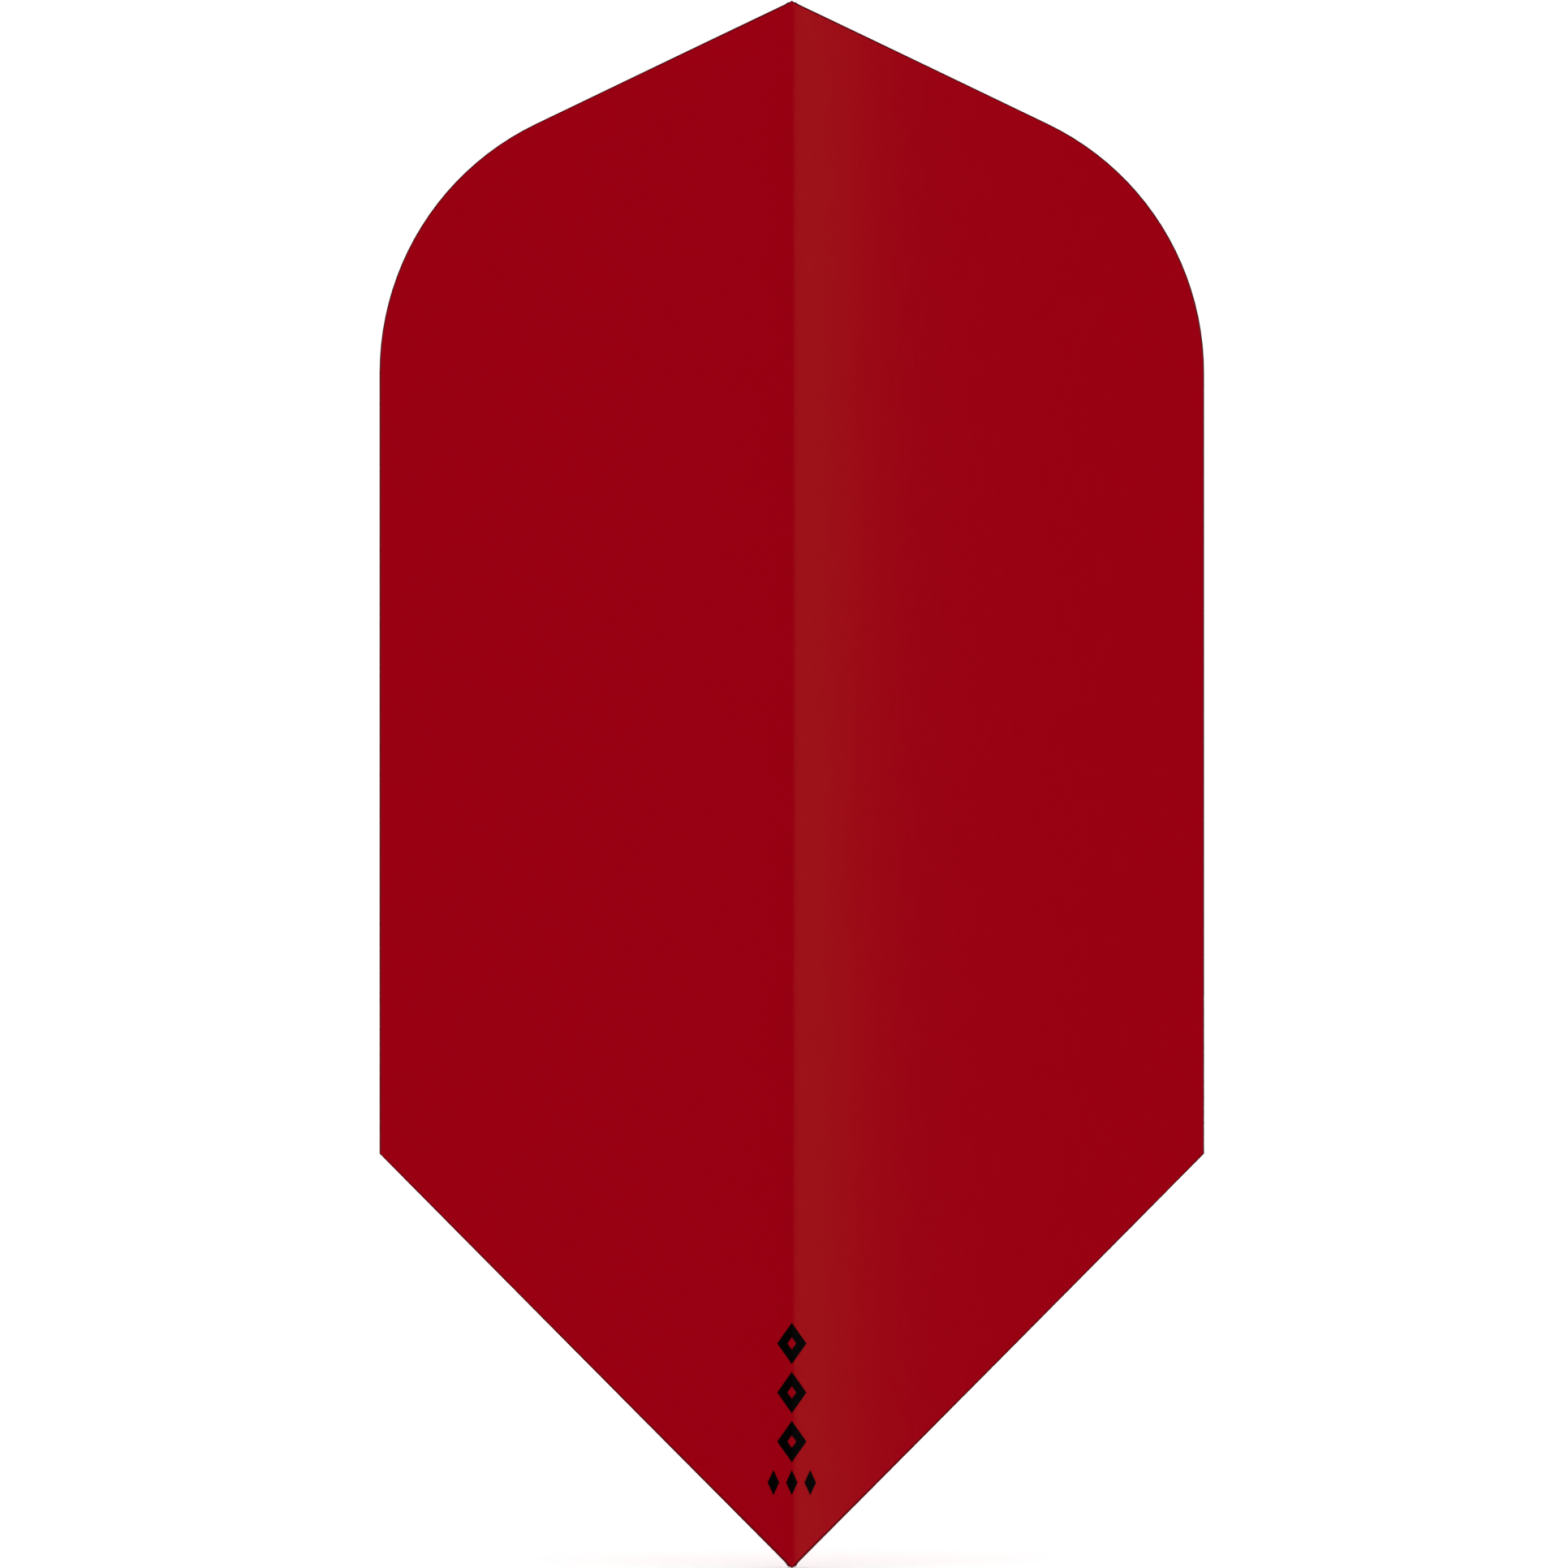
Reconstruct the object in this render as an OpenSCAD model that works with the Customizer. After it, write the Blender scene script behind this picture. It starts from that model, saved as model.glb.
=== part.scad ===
// Slim dart flight: four laminated film wings that fold about one spine.
// The spine is the Z axis, the stem end is at the origin and the front faces -Y.
// Each wing is two films bonded back to back. Four sheets make the flight: a front
// and a back sheet that lie nearly flat, and a left and a right sheet folded double.

/* [Outline] */
// Length along the spine, from the stem end to the tail
flight_length = 46; // [42:0.5:50]
// Width of one wing on the film, from the spine to its side edge
wing_width = 12.15; // [11:0.05:13]
// Angle between the spine and the nose edge
nose_angle = 45; // [40:1:50]
// Angle of the tail edge from square
tail_angle = 25.8; // [20:0.2:30]
// Radius of the shoulder between the side edge and the tail edge
shoulder_r = 8.1; // [4:0.1:9]

/* [Laminate] */
// Thickness of one polyester film
film_t = 0.135; // [0.1:0.005:0.14]
// Thickness of the adhesive between the two films of a wing
adhesive_t = 0.03; // [0.01:0.005:0.04]
// Thickness of the printed ink
ink_t = 0.02; // [0.01:0.005:0.03]

/* [Folds] */
// Angle that each wing stands open from the flat plane when nothing holds it
relaxed_angle = 6; // [4:0.5:9]
// Width of the strip on each side of the spine that bends when a wing turns
fold_reach = 0.35; // [0.35:0.01:0.5]
// Clearance from the flat plane to the nearest film of a wing that is pressed flat
face_gap = 0.01; // [0.005:0.005:0.02]
// Clearance from the spine to the folded edge of the left and right sheets
fold_gap = 0.01; // [0.005:0.005:0.02]

/* [Print] */
// Width of a ring lozenge in the printed column
lozenge_w = 0.86; // [0.8:0.02:1]
// Height of a ring lozenge
lozenge_h = 1.22; // [1:0.02:1.3]
// Line width of a ring lozenge, across its height
lozenge_line = 0.85; // [0.6:0.05:0.9]
// Height of the lowest ring lozenge's middle above the stem end
column_z = 3.7; // [3.6:0.1:5]
// Spacing of the ring lozenges
column_pitch = 1.44; // [1.4:0.02:1.6]
// Width of a small solid lozenge in the row under the column
row_w = 0.34; // [0.2:0.02:0.36]
// Height of a small solid lozenge
row_h = 0.74; // [0.5:0.02:0.8]
// Spacing of the small lozenges
row_pitch = 0.54; // [0.54:0.02:0.6]
// Height of the row's middle above the stem end
row_z = 2.5; // [2.4:0.1:2.6]

/* [Hidden] */

film_red = [0.6, 0.0, 0.075];
adhesive_tone = [0.75, 0.55, 0.5];
ink_black = [0.04, 0.03, 0.03];

// Depth of each layer's near face in a wing, from the flat plane outwards
adhesive_depth = face_gap + film_t;
outer_film_depth = adhesive_depth + adhesive_t;
ink_depth = outer_film_depth + film_t;

// The shoulder's arc touches the side edge and the tail edge
shoulder_x = wing_width - shoulder_r;
shoulder_drop = shoulder_r * (1 - sin(tail_angle)) + wing_width * sin(tail_angle);
shoulder_z = flight_length - shoulder_drop / cos(tail_angle);
shoulder_end = [
    shoulder_x + shoulder_r * sin(tail_angle),
    shoulder_z + shoulder_r * cos(tail_angle),
];

// The folded sheets turn round an inner radius that meets both of their panels
fold_inner_r = (face_gap + (film_t + fold_gap) * sin(relaxed_angle)) / (1 - sin(relaxed_angle));
fold_outer_r = fold_inner_r + film_t;
fold_x = fold_outer_r + fold_gap;

// Depth of the block that cuts a section to its outline, more than the folds are deep
cutter_depth = 2;

function nose_z(x) = x / tan(nose_angle);
function tail_z(x) = flight_length - x * tan(tail_angle);

// One wing's panel, with x out from the spine and y up it
module wing_outline() {
    union() {
        polygon([
            [fold_reach, nose_z(fold_reach)],
            [wing_width, nose_z(wing_width)],
            [wing_width, shoulder_z],
            [shoulder_x, shoulder_z],
            shoulder_end,
            [fold_reach, tail_z(fold_reach)],
        ]);
        intersection() {
            translate([shoulder_x, shoulder_z])
                circle(r = shoulder_r, $fn = 128);
            polygon([
                [shoulder_x, shoulder_z],
                [shoulder_x + 2 * shoulder_r, shoulder_z],
                [shoulder_x + 2 * shoulder_r, shoulder_z + 2 * shoulder_r],
                shoulder_end * 2 - [shoulder_x, shoulder_z],
            ]);
        }
    }
}

// The strip along the spine, cut to the same nose and tail edges
module spine_outline() {
    reach = 2 * fold_reach;
    polygon([
        [0, 0],
        [reach, nose_z(reach)],
        [reach, tail_z(reach)],
        [0, flight_length],
        [-reach, tail_z(reach)],
        [-reach, nose_z(reach)],
    ]);
}

module ring_lozenge() {
    inner = 1 - lozenge_line / lozenge_h;
    difference() {
        lozenge(lozenge_w, lozenge_h);
        lozenge(lozenge_w * inner, lozenge_h * inner);
    }
}

module lozenge(width, height) {
    polygon([[0, -height / 2], [width / 2, 0], [0, height / 2], [-width / 2, 0]]);
}

// The whole print: a column of ring lozenges over a row of small ones
module print_outline() {
    for (i = [0 : 2]) {
        translate([0, column_z + i * column_pitch])
            ring_lozenge();
    }
    for (i = [-1 : 1]) {
        translate([i * row_pitch, row_z])
            lozenge(row_w, row_h);
    }
}

// Stands a flat outline up as a layer of a wing that is pressed flat at the front
module layer(depth, thickness) {
    rotate([90, 0, 0])
        translate([0, 0, depth])
            linear_extrude(thickness)
                children();
}

// Turns a front right wing's layers from the flat plane to their relaxed place
module front_right() {
    rotate([0, 0, -relaxed_angle])
        children();
}

module front_left() {
    mirror([1, 0, 0])
        front_right()
            children();
}

module back_right() {
    mirror([0, 1, 0])
        front_right()
            children();
}

module back_left() {
    mirror([1, 0, 0])
        back_right()
            children();
}

module outer_film() {
    color(film_red)
        layer(outer_film_depth, film_t)
            wing_outline();
}

module inner_film() {
    color(film_red)
        layer(face_gap, film_t)
            wing_outline();
}

module adhesive() {
    color(adhesive_tone)
        layer(adhesive_depth, adhesive_t)
            wing_outline();
}

// A point at distance along a relaxed front right wing and depth in it, seen from above
function wing_point(distance, depth) = [
    distance * cos(relaxed_angle) - depth * sin(relaxed_angle),
    -distance * sin(relaxed_angle) - depth * cos(relaxed_angle),
];

function mirrored(point) = [-point.x, point.y];
function flipped(point) = [point.x, -point.y];

// A shallow V that carries one layer across the spine at the front, seen from above
module v_strip(depth, thickness) {
    near = wing_point(fold_reach, depth);
    far = wing_point(fold_reach, depth + thickness);
    polygon([
        near,
        far,
        [0, -(depth + thickness) / cos(relaxed_angle)],
        mirrored(far),
        mirrored(near),
        [0, -depth / cos(relaxed_angle)],
    ]);
}

// The space inside one face of the right sheet's fold, seen from above: it is round
// at the spine and widens between two legs that lie along the front and back panels
module fold_space(radius, depth, reach) {
    across = [fold_x - radius * sin(relaxed_angle), -radius * cos(relaxed_angle)];
    union() {
        translate([fold_x, 0])
            circle(r = radius, $fn = 48);
        polygon([
            [fold_x, 0],
            across,
            wing_point(reach, depth),
            wing_point(reach, 0),
            flipped(wing_point(reach, 0)),
            flipped(wing_point(reach, depth)),
            flipped(across),
        ]);
    }
}

// Raises a section seen from above to the flight's length and trims its two ends
module along_spine() {
    intersection() {
        linear_extrude(flight_length)
            children();
        rotate([90, 0, 0])
            linear_extrude(cutter_depth, center = true)
                spine_outline();
    }
}

module front_crease() {
    color(film_red)
        along_spine()
            v_strip(outer_film_depth, film_t);
}

module back_crease() {
    mirror([0, 1, 0])
        front_crease();
}

module right_crease() {
    color(film_red)
        along_spine()
            difference() {
                fold_space(fold_outer_r, adhesive_depth, fold_reach);
                fold_space(fold_inner_r, face_gap, 2 * fold_reach);
            }
}

module left_crease() {
    mirror([1, 0, 0])
        right_crease();
}

// The print's share on the wing, outside the strip that bends
module printed_marks_right() {
    color(ink_black)
        front_right()
            layer(ink_depth, ink_t)
                intersection() {
                    print_outline();
                    translate([fold_reach, 0])
                        square(flight_length);
                }
}

module printed_marks_left() {
    mirror([1, 0, 0])
        printed_marks_right();
}

// The print's share on the strip that bends, which follows its shallow V
module printed_marks_centre() {
    color(ink_black)
        intersection() {
            linear_extrude(flight_length)
                v_strip(ink_depth, ink_t);
            rotate([90, 0, 0])
                linear_extrude(cutter_depth, center = true)
                    print_outline();
        }
}

module front_film_left_panel() {
    front_left()
        outer_film();
}

module front_film_right_panel() {
    front_right()
        outer_film();
}

module back_film_left_panel() {
    back_left()
        outer_film();
}

module back_film_right_panel() {
    back_right()
        outer_film();
}

module left_film_front_panel() {
    front_left()
        inner_film();
}

module left_film_back_panel() {
    back_left()
        inner_film();
}

module right_film_front_panel() {
    front_right()
        inner_film();
}

module right_film_back_panel() {
    back_right()
        inner_film();
}

module front_left_adhesive() {
    front_left()
        adhesive();
}

module front_right_adhesive() {
    front_right()
        adhesive();
}

module back_left_adhesive() {
    back_left()
        adhesive();
}

module back_right_adhesive() {
    back_right()
        adhesive();
}

front_crease();
back_crease();
left_crease();
right_crease();
front_film_left_panel();
front_film_right_panel();
back_film_left_panel();
back_film_right_panel();
left_film_front_panel();
left_film_back_panel();
right_film_front_panel();
right_film_back_panel();
front_left_adhesive();
front_right_adhesive();
back_left_adhesive();
back_right_adhesive();
printed_marks_left();
printed_marks_centre();
printed_marks_right();
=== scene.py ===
"""A slim dart flight: four film sheets, their adhesive and a generic print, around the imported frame.

Every piece is drawn flat, with u across a wing from the spine, v out through its layers from the plane
between the front and back wings, and z up the spine. A wing's section then bends it into place.
"""

import math

import bmesh
import bpy
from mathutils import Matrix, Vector


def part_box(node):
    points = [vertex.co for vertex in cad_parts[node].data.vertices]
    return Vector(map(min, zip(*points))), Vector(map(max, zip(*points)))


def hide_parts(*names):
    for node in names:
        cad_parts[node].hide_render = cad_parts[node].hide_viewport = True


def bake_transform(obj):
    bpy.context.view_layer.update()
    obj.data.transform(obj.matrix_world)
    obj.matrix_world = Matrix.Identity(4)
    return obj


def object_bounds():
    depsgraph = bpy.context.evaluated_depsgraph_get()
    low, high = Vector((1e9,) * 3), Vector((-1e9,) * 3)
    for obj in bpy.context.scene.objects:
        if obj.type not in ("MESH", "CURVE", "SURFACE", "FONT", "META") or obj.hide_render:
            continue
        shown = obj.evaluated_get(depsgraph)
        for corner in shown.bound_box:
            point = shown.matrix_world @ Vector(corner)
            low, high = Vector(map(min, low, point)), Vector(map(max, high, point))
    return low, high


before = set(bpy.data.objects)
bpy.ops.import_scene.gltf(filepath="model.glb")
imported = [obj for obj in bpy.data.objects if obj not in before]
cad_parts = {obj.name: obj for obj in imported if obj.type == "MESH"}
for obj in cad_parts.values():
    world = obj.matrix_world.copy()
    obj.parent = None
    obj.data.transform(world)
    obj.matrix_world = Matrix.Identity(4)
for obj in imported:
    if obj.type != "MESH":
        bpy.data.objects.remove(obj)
CAD_LOW, CAD_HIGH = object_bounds()

MM = 0.001

# The flight, as the CAD model has it
RELAXED = math.radians(6)
TAIL_ANGLE = math.radians(25.8)
SHOULDER_R = 8.1 * MM
FILM = 0.135 * MM
ADHESIVE = 0.03 * MM
FACE_GAP = 0.01 * MM
FOLD_GAP = 0.01 * MM
LENGTH = CAD_HIGH.z
WIDTH = (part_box("right_film_front_panel")[1].x + FACE_GAP * math.sin(RELAXED)) / math.cos(RELAXED)

# The nose edge follows the photo: just under the CAD model's 45 degrees, with a blunt tip of this half width
NOSE_ANGLE = math.radians(44.8)
NOSE_BLUNT = 0.065 * MM

# Depths of each layer's inner and outer face in a wing. The ink is sunk a little into the film.
INNER = (FACE_GAP, FACE_GAP + FILM)
BOND = (INNER[1], INNER[1] + ADHESIVE)
OUTER = (BOND[1], BOND[1] + FILM)
INK_SINK, INK_RISE = 0.003 * MM, 0.012 * MM
INK = (OUTER[1] - INK_SINK, OUTER[1] + INK_RISE)

# How the film lies: it leaves its rounded crease steeper than the wing stands, then bows back
BOW = math.radians(5)
CREASE_R = 0.1 * MM

# The strip beside the spine that bends when a wing folds
FOLD_START, FOLD_END = 0.05 * MM, 0.6 * MM

# The bevels of the cut edges, and how far the adhesive stays back from them
CUT_BEVEL = 0.035 * MM
BOND_BEVEL = 0.008 * MM
BOND_RECESS = 0.03 * MM

# The print: a column of ring lozenges over a row of small ones
RING_WIDTH, RING_HEIGHT = 0.86 * MM, 1.22 * MM
RING_OPEN_SHARE = 0.3
RING_Z, RING_PITCH, RINGS = 3.7 * MM, 1.44 * MM, 3
SPOT_WIDTH, SPOT_HEIGHT = 0.34 * MM, 0.74 * MM
SPOT_Z, SPOT_PITCH = 2.5 * MM, 0.54 * MM

# Mesh density
ROWS = 28
FOLD_COLUMNS = 14
FOLD_CROWDING = 1.3
STRAIGHT_COLUMNS = 16
ARC_COLUMNS = 22
TURN_COLUMNS = 10
PRINT_COLUMN = 0.04 * MM
SECTION_STEPS = 2400
SETTLING_ROUNDS = 40
FINE_STEP = 0.001 * MM
SHARP_ANGLE = math.radians(25)

# Patches are put in order along this direction, because Blender extrudes them in a different order each run
SORT_BY = Vector((1, 3, 10))

SIDES = {"left": -1, "right": 1}
FACES = {"front": 1, "back": -1}


# ---------------------------------------------------------------- section of a wing

def lean(u):
    """How far the film leans from the flat plane at u, in radians."""
    t = u / WIDTH
    steep = RELAXED + BOW * (1 - 3 * t + 1.5 * t * t)
    return steep * u / math.hypot(u, CREASE_R)


def trace_section():
    """How far forward the wing's base line lies at even steps of u, from the spine to the side edge."""
    step = WIDTH / SECTION_STEPS
    forward = CREASE_R * math.sin(RELAXED + BOW)
    line = [forward]
    for i in range(SECTION_STEPS):
        forward += step * math.cos(RELAXED) * math.tan(lean((i + 0.5) * step))
        line.append(forward)
    return line


SECTION = trace_section()


def wing_point(u, v):
    """Where depth v at u lies on the front right wing, seen from above."""
    place = min(u / WIDTH, 1.0) * SECTION_STEPS
    i = min(int(place), SECTION_STEPS - 1)
    forward = SECTION[i] + (SECTION[i + 1] - SECTION[i]) * (place - i)
    a = lean(u)
    return u * math.cos(RELAXED) - v * math.sin(a), -forward - v * math.cos(a)


def printed_u(x):
    """The u at which the outer film's own face is this far from the spine, seen from the front."""
    u = x
    for _ in range(SETTLING_ROUNDS):
        u = (x + OUTER[1] * math.sin(lean(u))) / math.cos(RELAXED)
    return u


def find_turn():
    """Where the folded sheets stop being a wing and turn tightly, and the turn's centre and inner radius.

    The search goes outwards from the rounded crease.
    """
    u = CREASE_R
    while True:
        a = lean(u)
        x, y = wing_point(u, INNER[0])
        radius = -y / math.cos(a)
        centre = x + radius * math.sin(a)
        if centre - radius - FILM >= FOLD_GAP:
            return u, centre, radius
        u += FINE_STEP


TURN_U, TURN_X, TURN_R = find_turn()


def turn_point(share, v):
    """A point of the tight turn, from share 1 where it meets the wing to 0 between the wings."""
    a = lean(TURN_U)
    angle = a + (math.pi / 2 - a) * (1 - share)
    radius = TURN_R + v - INNER[0]
    return TURN_X - radius * math.sin(angle), -radius * math.cos(angle)


# ---------------------------------------------------------------- outline of a wing

def nose_z(u, inset=0.0):
    """The nose edge, which runs straight to its blunt tip."""
    return max(inset, (u - NOSE_BLUNT) / math.tan(NOSE_ANGLE) + inset / math.sin(NOSE_ANGLE))


def tail_z(u, inset=0.0):
    """The tail edge, which runs straight to its point."""
    return LENGTH - u * math.tan(TAIL_ANGLE) - inset / math.cos(TAIL_ANGLE)


# The centre of the shoulder's arc, which touches the side edge and the tail edge
SHOULDER_U = WIDTH - SHOULDER_R
SHOULDER_Z = LENGTH - (
    SHOULDER_R * (1 - math.sin(TAIL_ANGLE)) + WIDTH * math.sin(TAIL_ANGLE)
) / math.cos(TAIL_ANGLE)


def wing_columns(start, inset):
    """Columns of the outline from u = start to the side edge, each (u, lowest z, highest z)."""
    radius = SHOULDER_R - inset
    arc_start = SHOULDER_U + radius * math.sin(TAIL_ANGLE)
    columns = []
    for i in range(FOLD_COLUMNS):
        share = i / FOLD_COLUMNS
        columns.append(start + (FOLD_END - start) * share ** FOLD_CROWDING)
    for i in range(STRAIGHT_COLUMNS):
        columns.append(FOLD_END + (arc_start - FOLD_END) * i / STRAIGHT_COLUMNS)
    outline = [(u, nose_z(u, inset), tail_z(u, inset)) for u in columns]
    for i in range(ARC_COLUMNS + 1):
        angle = TAIL_ANGLE + (math.pi / 2 - TAIL_ANGLE) * i / ARC_COLUMNS
        u = SHOULDER_U + radius * math.sin(angle)
        outline.append((u, nose_z(u, inset), SHOULDER_Z + radius * math.cos(angle)))
    return outline


def turn_columns():
    """Shares of the tight turn, from its middle outwards, each with the u that sets its cut ends."""
    middle = sum(INNER) / 2
    found = []
    for i in range(TURN_COLUMNS):
        share = i / TURN_COLUMNS
        x, _ = turn_point(share, middle)
        found.append((share, x / math.cos(RELAXED)))
    return found


def layer_grid(depth, inset, folded, start):
    """One face of a layer as columns of points (x, y, z, u), each column from the nose to the tail."""
    places = []
    if folded:
        for share, u in turn_columns():
            places.append((*turn_point(share, depth), u, nose_z(u, inset), tail_z(u, inset)))
    for u, low, high in wing_columns(start, inset):
        places.append((*wing_point(u, depth), u, low, high))
    return [
        [(x, y, low + (high - low) * j / ROWS, u) for j in range(ROWS + 1)]
        for x, y, u, low, high in places
    ]


# ---------------------------------------------------------------- meshes

BROAD, CUT = 0, 1


def build_layer(name, side, face, sealed, exposed, start, bevel, inset=0.0, folded=False):
    """A closed slab between two depths: half a sheet or one adhesive layer, bevelled on its exposed face."""
    rim_depth = exposed - math.copysign(bevel, exposed - sealed)
    top = layer_grid(exposed, inset + bevel, folded, start)
    rim = layer_grid(rim_depth, inset, folded, start)
    low = layer_grid(sealed, inset, folded, start)
    bm = bmesh.new()
    uv = bm.loops.layers.uv.new("film")
    flat = {}

    def vertex(point):
        x, y, z, u = point
        made = bm.verts.new((x * SIDES[side], y * FACES[face], z))
        flat[made] = (u / MM, z / MM)
        return made

    def add_face(vertices, slot):
        made = bm.faces.new(vertices)
        made.material_index = slot
        made.smooth = True

    top_v = [[vertex(p) for p in column] for column in top]
    low_v = [[vertex(p) for p in column] for column in low]
    last = len(top) - 1
    nose_rim = [vertex(column[0]) for column in rim]
    tail_rim = [vertex(column[-1]) for column in rim]
    side_rim = [nose_rim[last]] + [vertex(p) for p in rim[last][1:-1]] + [tail_rim[last]]

    for i in range(last):
        for j in range(ROWS):
            add_face([top_v[i][j], top_v[i + 1][j], top_v[i + 1][j + 1], top_v[i][j + 1]], BROAD)
            add_face([low_v[i][j], low_v[i][j + 1], low_v[i + 1][j + 1], low_v[i + 1][j]], BROAD)
        for ring, j in ((nose_rim, 0), (tail_rim, ROWS)):
            add_face([top_v[i][j], ring[i], ring[i + 1], top_v[i + 1][j]], CUT)
            add_face([ring[i], low_v[i][j], low_v[i + 1][j], ring[i + 1]], CUT)
    for j in range(ROWS):
        add_face([top_v[last][j], side_rim[j], side_rim[j + 1], top_v[last][j + 1]], CUT)
        add_face([side_rim[j], low_v[last][j], low_v[last][j + 1], side_rim[j + 1]], CUT)
        add_face([top_v[0][j], top_v[0][j + 1], low_v[0][j + 1], low_v[0][j]], BROAD)
    add_face([top_v[0][0], low_v[0][0], nose_rim[0]], BROAD)
    add_face([top_v[0][ROWS], tail_rim[0], low_v[0][ROWS]], BROAD)
    for made in bm.faces:
        for loop in made.loops:
            loop[uv].uv = flat[loop.vert]
    return finish_mesh(name, bm)


def finish_mesh(name, bm):
    """Turns a finished bmesh into an object in the scene."""
    bmesh.ops.recalc_face_normals(bm, faces=bm.faces)
    mesh = bpy.data.meshes.new(name)
    bm.to_mesh(mesh)
    bm.free()
    mesh.set_sharp_from_angle(angle=SHARP_ANGLE)
    piece = bpy.data.objects.new(name, mesh)
    bpy.context.scene.collection.objects.link(piece)
    return piece


def half_ring(z):
    """The outlines, in (u, z), of a ring lozenge's upper and lower quarters on one side of the spine."""
    w, h = RING_WIDTH / 2, RING_HEIGHT / 2
    open_w, open_h = w * RING_OPEN_SHARE, h * RING_OPEN_SHARE
    upper = [(0, z + open_h), (open_w, z), (w, z), (0, z + h)]
    lower = [(0, z - open_h), (0, z - h), (w, z), (open_w, z)]
    return [upper, lower]


def half_row():
    """The outlines, in (u, z), of the row's middle half lozenge and its whole outer one."""
    w, h, z = SPOT_WIDTH / 2, SPOT_HEIGHT / 2, SPOT_Z
    middle = [(0, z - h), (w, z), (0, z + h)]
    outer = [(SPOT_PITCH - w, z), (SPOT_PITCH, z - h), (SPOT_PITCH + w, z), (SPOT_PITCH, z + h)]
    return [middle, outer]


def build_print(name, side):
    """The print's share on one side of the spine, as thin closed patches that follow the film."""
    bm = bmesh.new()
    uv = bm.loops.layers.uv.new("film")
    shapes = sum((half_ring(RING_Z + RING_PITCH * i) for i in range(RINGS)), []) + half_row()
    for shape in shapes:
        bm.faces.new([bm.verts.new((u, INK[0], z)) for u, z in shape])
    bmesh.ops.remove_doubles(bm, verts=bm.verts, dist=FINE_STEP)
    cut = PRINT_COLUMN
    while cut < SPOT_PITCH + SPOT_WIDTH / 2:
        everything = bm.verts[:] + bm.edges[:] + bm.faces[:]
        bmesh.ops.bisect_plane(bm, geom=everything, plane_co=(cut, 0, 0), plane_no=(1, 0, 0))
        cut += PRINT_COLUMN
    raised = bmesh.ops.extrude_face_region(bm, geom=bm.faces[:], use_keep_orig=True)
    for element in raised["geom"]:
        if isinstance(element, bmesh.types.BMVert):
            element.co.y = INK[1]
    for vertex in bm.verts:
        across, depth, z = vertex.co
        x, y = wing_point(printed_u(across), depth)
        vertex.co = (x * SIDES[side], y, z)
    for made in bm.faces:
        made.smooth = True
        for loop in made.loops:
            loop[uv].uv = (abs(loop.vert.co.x) / MM, loop.vert.co.z / MM)
    bm.faces.sort(key=lambda patch: patch.calc_center_median().dot(SORT_BY))
    return finish_mesh(name, bm)


# ---------------------------------------------------------------- materials

FILM_DARK, FILM_LIGHT = (0.323, 0.0001, 0.0062), (0.333, 0.0002, 0.0068)
FILM_GLOSS_TINT = (1.0, 0.22, 0.14, 1)
FILM_IOR = 1.55
CUT_DARK, CUT_LIGHT = (0.08, 0.0005, 0.004), (0.12, 0.001, 0.007)
CUT_GLOSS_TINT = (1.0, 0.3, 0.25, 1)
CUT_GLOSS = 0.3
BOND_DARK, BOND_LIGHT = (0.25, 0.03, 0.03), (0.34, 0.06, 0.05)
INK_DARK, INK_LIGHT = (0.0004, 0.0003, 0.0003), (0.0012, 0.0008, 0.0008)
INK_GLOSS = 0.1


def new_material(name):
    material = bpy.data.materials.new(name)
    material.use_nodes = True
    tree = material.node_tree
    return material, tree, tree.nodes["Principled BSDF"]


def add_node(tree, kind, **settings):
    made = tree.nodes.new(kind)
    for key, value in settings.items():
        setattr(made, key, value)
    return made


def film_coordinates(tree, stretch):
    """The film's own flat coordinates in millimetres, so that a pattern stays put when a wing turns."""
    uv = add_node(tree, "ShaderNodeUVMap", uv_map="film")
    mapping = add_node(tree, "ShaderNodeMapping")
    mapping.inputs["Scale"].default_value = stretch
    tree.links.new(uv.outputs["UV"], mapping.inputs["Vector"])
    return mapping.outputs["Vector"]


def noise(tree, scale, detail, stretch=(1, 1, 1), roughness=0.5):
    texture = add_node(tree, "ShaderNodeTexNoise")
    texture.inputs["Scale"].default_value = scale
    texture.inputs["Detail"].default_value = detail
    texture.inputs["Roughness"].default_value = roughness
    tree.links.new(film_coordinates(tree, stretch), texture.inputs["Vector"])
    return texture.outputs["Fac"]


def ramp(tree, pattern, low, high):
    """Spreads a noise pattern's middle range between two numbers."""
    spread = add_node(tree, "ShaderNodeMapRange")
    spread.inputs["From Min"].default_value = 0.35
    spread.inputs["From Max"].default_value = 0.65
    spread.inputs["To Min"].default_value = low
    spread.inputs["To Max"].default_value = high
    tree.links.new(pattern, spread.inputs["Value"])
    return spread.outputs["Result"]


def tone(tree, pattern, dark, light):
    """Mixes two colours by a noise pattern."""
    mix = add_node(tree, "ShaderNodeMix", data_type="RGBA")
    mix.inputs["A"].default_value = (*dark, 1)
    mix.inputs["B"].default_value = (*light, 1)
    tree.links.new(pattern, mix.inputs["Factor"])
    return mix.outputs["Result"]


def bump(tree, shader, layers):
    """Chains bump layers, each (height, strength, distance in metres)."""
    normal = None
    for height, strength, distance in layers:
        made = add_node(tree, "ShaderNodeBump")
        made.inputs["Strength"].default_value = strength
        made.inputs["Distance"].default_value = distance
        tree.links.new(height, made.inputs["Height"])
        if normal:
            tree.links.new(normal, made.inputs["Normal"])
        normal = made.outputs["Normal"]
    tree.links.new(normal, shader.inputs["Normal"])


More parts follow.
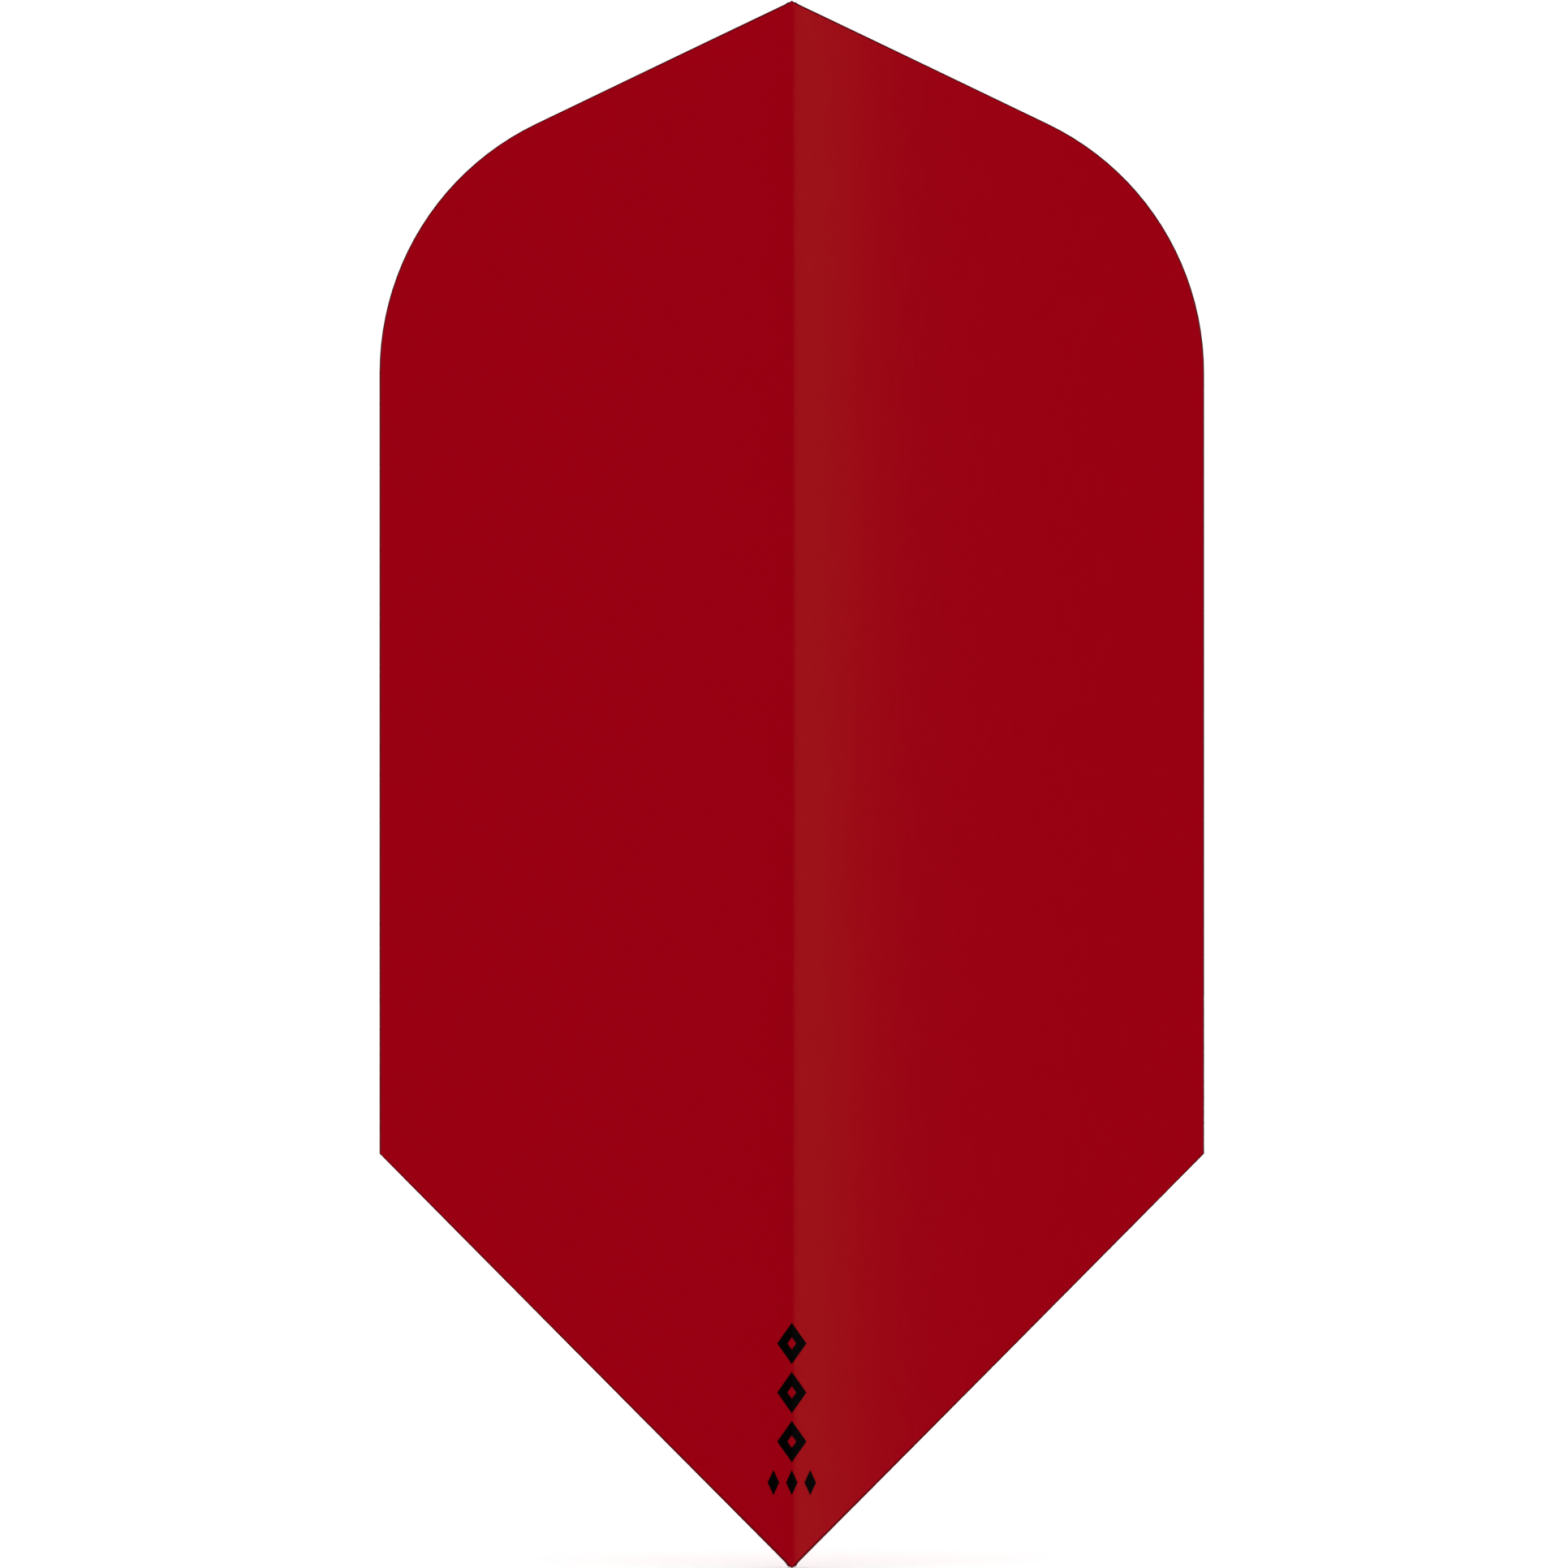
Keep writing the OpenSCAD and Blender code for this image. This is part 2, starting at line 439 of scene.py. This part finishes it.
def film_material():
    """Dyed polyester film: even deep red, satin gloss, faint rolling lines, waves and hairline scuffs."""
    material, tree, shader = new_material("red_film")
    patches = noise(tree, scale=0.35, detail=2)
    tree.links.new(tone(tree, patches, FILM_DARK, FILM_LIGHT), shader.inputs["Base Color"])
    scuffs = noise(tree, scale=1.6, detail=5, stretch=(6, 0.5, 1), roughness=0.7)
    tree.links.new(ramp(tree, scuffs, low=0.16, high=0.25), shader.inputs["Roughness"])
    waves = noise(tree, scale=0.14, detail=1, stretch=(1, 0.5, 1))
    rolling = noise(tree, scale=2.2, detail=3, stretch=(4, 0.12, 1))
    grain = noise(tree, scale=14, detail=2)
    bump(tree, shader, [(waves, 0.3, 0.05 * MM), (rolling, 0.25, 0.005 * MM), (grain, 0.3, 0.002 * MM)])
    shader.inputs["IOR"].default_value = FILM_IOR
    shader.inputs["Specular Tint"].default_value = FILM_GLOSS_TINT
    return material


def cut_material():
    """The die-cut edge of the film: darker, and rough where the blade sheared it."""
    material, tree, shader = new_material("cut_edge")
    shear = noise(tree, scale=9, detail=4, roughness=0.7)
    tree.links.new(tone(tree, shear, CUT_DARK, CUT_LIGHT), shader.inputs["Base Color"])
    tree.links.new(ramp(tree, shear, low=0.4, high=0.6), shader.inputs["Roughness"])
    bump(tree, shader, [(shear, 0.4, 0.004 * MM)])
    shader.inputs["Specular IOR Level"].default_value = CUT_GLOSS
    shader.inputs["Specular Tint"].default_value = CUT_GLOSS_TINT
    return material


def bond_material():
    """The adhesive, which shows only as a hairline in the cut edge."""
    material, tree, shader = new_material("adhesive")
    flow = noise(tree, scale=4, detail=3)
    tree.links.new(tone(tree, flow, BOND_DARK, BOND_LIGHT), shader.inputs["Base Color"])
    tree.links.new(ramp(tree, flow, low=0.3, high=0.45), shader.inputs["Roughness"])
    bump(tree, shader, [(flow, 0.2, 0.002 * MM)])
    return material


def ink_material():
    """Screen-printed black ink, with a faint mottle where it lies thinner."""
    material, tree, shader = new_material("black_ink")
    mottle = noise(tree, scale=12, detail=4, roughness=0.6)
    tree.links.new(tone(tree, mottle, INK_DARK, INK_LIGHT), shader.inputs["Base Color"])
    tree.links.new(ramp(tree, mottle, low=0.38, high=0.5), shader.inputs["Roughness"])
    bump(tree, shader, [(mottle, 0.15, 0.001 * MM)])
    shader.inputs["Specular IOR Level"].default_value = INK_GLOSS
    return material


# ---------------------------------------------------------------- assembly

def place_on_wing(piece, materials, nodes):
    """Finishes a piece, which its build has already bent onto its wing, and hides these CAD nodes that it
    stands in place of.
    """
    for material in materials:
        piece.data.materials.append(material)
    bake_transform(piece)
    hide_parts(*nodes)


def make_outer_film(side, face, film, cut):
    """A wing's half of the front or back sheet, which crosses the spine."""
    sheet = build_layer(f"{face}_sheet_{side}", side, face, OUTER[0], OUTER[1], 0.0, CUT_BEVEL)
    place_on_wing(sheet, [film, cut], [f"{face}_film_{side}_panel", f"{face}_crease"])


def make_inner_film(side, face, film, cut):
    """A wing's half of the left or right sheet, which is folded double at the spine."""
    name = f"{side}_sheet_{face}"
    sheet = build_layer(name, side, face, INNER[1], INNER[0], TURN_U, CUT_BEVEL, folded=True)
    place_on_wing(sheet, [film, cut], [f"{side}_film_{face}_panel", f"{side}_crease"])


def make_adhesive(side, face, bond):
    """The layer that bonds a wing's two films, set back a little from their edges."""
    name = f"{face}_{side}_bond"
    layer = build_layer(name, side, face, BOND[0], BOND[1], TURN_U, BOND_BEVEL, inset=BOND_RECESS)
    place_on_wing(layer, [bond, bond], [f"{face}_{side}_adhesive"])


def make_print(side, ink):
    """The generic print on one front wing."""
    marks = build_print(f"print_{side}", side)
    place_on_wing(marks, [ink], [f"printed_marks_{side}", "printed_marks_centre"])


def make_flight():
    film, cut, bond, ink = film_material(), cut_material(), bond_material(), ink_material()
    for face in FACES:
        for side in SIDES:
            make_outer_film(side, face, film, cut)
            make_inner_film(side, face, film, cut)
            make_adhesive(side, face, bond)
    for side in SIDES:
        make_print(side, ink)


# ---------------------------------------------------------------- studio

FILL = 2.8
SOFTBOX_DISTANCE, SOFTBOX_HEIGHT = 0.6, 0.6
CREASE_AZIMUTH, CORNER_AZIMUTH = -26, 58
FLOOR_R, FLOOR_DROP = 1.4, 0.02 * MM
FLOOR_ALBEDO, FLOOR_ROUGHNESS, FLOOR_GLOW = 0.8, 0.9, 0.36
BACKDROP_STRENGTH = 1.05
SENSOR_WIDTH, LENS = 36, 400
CAMERA_X = -0.229 * MM
PHOTO_PIXELS, FLIGHT_PIXELS = 1932, 1931


def polar(distance, azimuth, height):
    """A place at this distance from the spine. Azimuth 0 is in front, and positive is to the right."""
    a = math.radians(azimuth)
    return (distance * math.sin(a), -distance * math.cos(a), height)


def add_lamp(name, light, azimuth):
    """Puts a light in the scene, turned to shine on the flight from this azimuth."""
    lamp = bpy.data.objects.new(name, light)
    bpy.context.scene.collection.objects.link(lamp)
    lamp.rotation_euler = (-Vector(polar(1, azimuth, 0))).to_track_quat("-Z", "Y").to_euler()
    lamp.visible_camera = False
    return lamp


def softbox(name, azimuth, width, radiance):
    """An upright softbox that faces the flight. The flight mirrors it, but the camera doesn't see it."""
    light = bpy.data.lights.new(name, "AREA")
    light.shape = "RECTANGLE"
    light.size, light.size_y = width, SOFTBOX_HEIGHT
    light.energy = radiance * math.pi * width * SOFTBOX_HEIGHT
    lamp = add_lamp(name, light, azimuth)
    lamp.location = polar(SOFTBOX_DISTANCE, azimuth, LENGTH / 2)


def half_dome(name, azimuth):
    """Even light from the whole half of the surround at this azimuth. Gloss doesn't mirror it."""
    light = bpy.data.lights.new(name, "SUN")
    light.angle = math.pi
    light.energy = FILL
    light.cycles.use_multiple_importance_sampling = False
    lamp = add_lamp(name, light, azimuth)
    lamp.visible_glossy = False


def make_lights():
    """Even fill, plus softboxes that the film mirrors only near the spine when seen square on."""
    half_dome("front_fill", 0)
    half_dome("back_fill", 180)
    for name, azimuth in (("front", CREASE_AZIMUTH), ("back", CREASE_AZIMUTH + 180)):
        softbox(f"{name}_softbox", azimuth, width=0.175, radiance=0.82)
    for name, azimuth in (("left", -90), ("right", 90)):
        softbox(f"{name}_softbox", azimuth, width=0.3, radiance=1.1)
    for face, turn in (("front", CORNER_AZIMUTH), ("back", 180 - CORNER_AZIMUTH)):
        for side, sign in SIDES.items():
            softbox(f"{face}_{side}_softbox", sign * turn, width=0.12, radiance=0.8)


def make_world():
    """A white backdrop, which only the camera sees."""
    world = bpy.data.worlds.new("studio")
    bpy.context.scene.world = world
    world.use_nodes = True
    background = world.node_tree.nodes["Background"]
    background.inputs["Color"].default_value = (1, 1, 1, 1)
    background.inputs["Strength"].default_value = BACKDROP_STRENGTH
    seen = world.cycles_visibility
    seen.diffuse = seen.glossy = seen.transmission = seen.scatter = False


def make_floor():
    """A pale floor that catches the flight's shadow but bounces no light back at it."""
    mesh = bpy.data.meshes.new("floor")
    bm = bmesh.new()
    bmesh.ops.create_circle(bm, cap_ends=True, segments=96, radius=FLOOR_R)
    bm.to_mesh(mesh)
    bm.free()
    floor = bpy.data.objects.new("floor", mesh)
    bpy.context.scene.collection.objects.link(floor)
    floor.location.z = CAD_LOW.z - FLOOR_DROP
    floor.visible_glossy = floor.visible_diffuse = floor.visible_shadow = False
    material, _, shader = new_material("pale_floor")
    shader.inputs["Base Color"].default_value = (FLOOR_ALBEDO, FLOOR_ALBEDO, FLOOR_ALBEDO, 1)
    shader.inputs["Roughness"].default_value = FLOOR_ROUGHNESS
    shader.inputs["Specular IOR Level"].default_value = 0.0
    shader.inputs["Emission Color"].default_value = (1, 1, 1, 1)
    shader.inputs["Emission Strength"].default_value = FLOOR_GLOW
    mesh.materials.append(material)


def make_camera():
    """Square on from the front, with the flight as high as in the photo and as far to its right."""
    data = bpy.data.cameras.new("camera")
    data.sensor_width = SENSOR_WIDTH
    data.lens = LENS
    data.clip_start, data.clip_end = 0.01, 10
    camera = bpy.data.objects.new("camera", data)
    bpy.context.scene.collection.objects.link(camera)
    view_width = LENGTH * PHOTO_PIXELS / FLIGHT_PIXELS
    distance = view_width * LENS / SENSOR_WIDTH
    camera.location = (CAMERA_X, -distance - OUTER[1], LENGTH / 2)
    camera.rotation_euler = (math.pi / 2, 0, 0)
    bpy.context.scene.camera = camera


def set_colour():
    view = bpy.context.scene.view_settings
    view.view_transform = "Standard"
    view.look = "None"


make_flight()
make_world()
make_floor()
make_lights()
make_camera()
set_colour()
